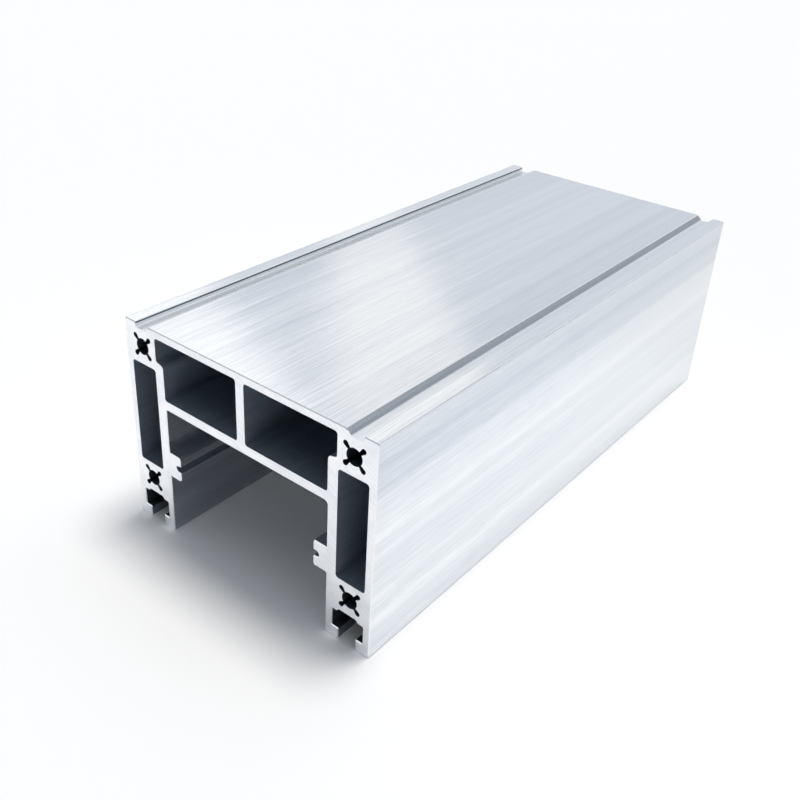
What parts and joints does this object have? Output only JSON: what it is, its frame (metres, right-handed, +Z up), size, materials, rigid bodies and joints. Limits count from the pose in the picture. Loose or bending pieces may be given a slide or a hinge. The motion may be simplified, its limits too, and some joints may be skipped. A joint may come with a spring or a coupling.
{
  "type": "aluminium extrusion profile",
  "caption": "Deep aluminium extrusion: hollow deck over an open channel, hollow legs with screw ports, hook strips inside and a T-slot in each foot.",
  "frame": {"origin": "on the ground under the feet, at the middle of the width and of the length", "axes": "+X across the section, +Y along the extrusion from the end that faces the viewer to the far end, +Z up through the deck"},
  "size_m": [0.1, 0.217, 0.073],
  "materials": {
    "mill_aluminium": "mill finish with die lines along the length and sawn ends"
  },
  "bodies": {
    "root": {"extruded_profile": "mill_aluminium"}
  },
  "joints": []
}
